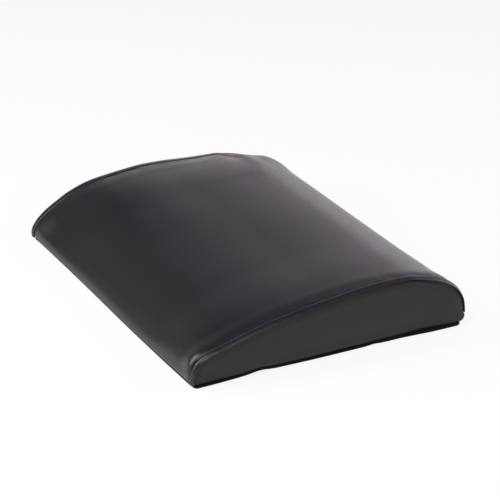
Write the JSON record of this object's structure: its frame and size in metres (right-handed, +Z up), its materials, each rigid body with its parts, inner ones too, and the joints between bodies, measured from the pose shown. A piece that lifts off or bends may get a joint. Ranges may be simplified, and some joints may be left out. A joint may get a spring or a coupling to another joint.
{
  "type": "ab mat",
  "caption": "Contoured sit-up mat: a domed foam wedge in a stitched black leather cover, with a non-slip base and a zip below its steep nose.",
  "frame": {"origin": "on the floor plane, under the middle of the overall length and width", "axes": "+X along the curved profile, from the low edge to the steep nose; +Y across the body, towards the end where the closed zip's slider rests; +Z up"},
  "size_m": [0.293, 0.381, 0.064],
  "materials": {
    "foam": "matte",
    "black_leather": "satin",
    "end_leather": "satin",
    "non_slip_cloth": "matte",
    "black_thread": "matte",
    "zip_tape": "matte",
    "zip_coil": "satin",
    "dark_metal": "satin"
  },
  "bodies": {
    "mat": {"foam_core": "foam", "top_panel": "black_leather", "end_panel_left": "end_leather", "end_panel_right": "end_leather", "base_panel": "non_slip_cloth", "seam_stitch_left": "black_thread", "seam_stitch_right": "black_thread", "zip_stitch_upper": "black_thread", "zip_stitch_lower": "black_thread", "zip_tape_upper": "zip_tape", "zip_tape_lower": "zip_tape", "zip_row_upper": "zip_coil", "zip_row_lower": "zip_coil", "zip_top_stop_upper": "dark_metal", "zip_top_stop_lower": "dark_metal", "zip_bottom_stop": "dark_metal"},
    "slider": {"zip_slider": "dark_metal"},
    "pull": {"zip_pull": "dark_metal"}
  },
  "joints": [
    {"name": "zip_slide", "type": "slide", "parent": "mat", "child": "slider", "axis": [0, -1, 0], "range_m": [0, 0.3395], "deforming": ["zip_row_upper", "zip_row_lower"]},
    {"name": "pull_hinge", "type": "hinge", "parent": "slider", "child": "pull", "pos_m": [0.14507, 0.1698, 0.00815], "axis": [0, 0, 1], "range_deg": [0, 180]}
  ]
}
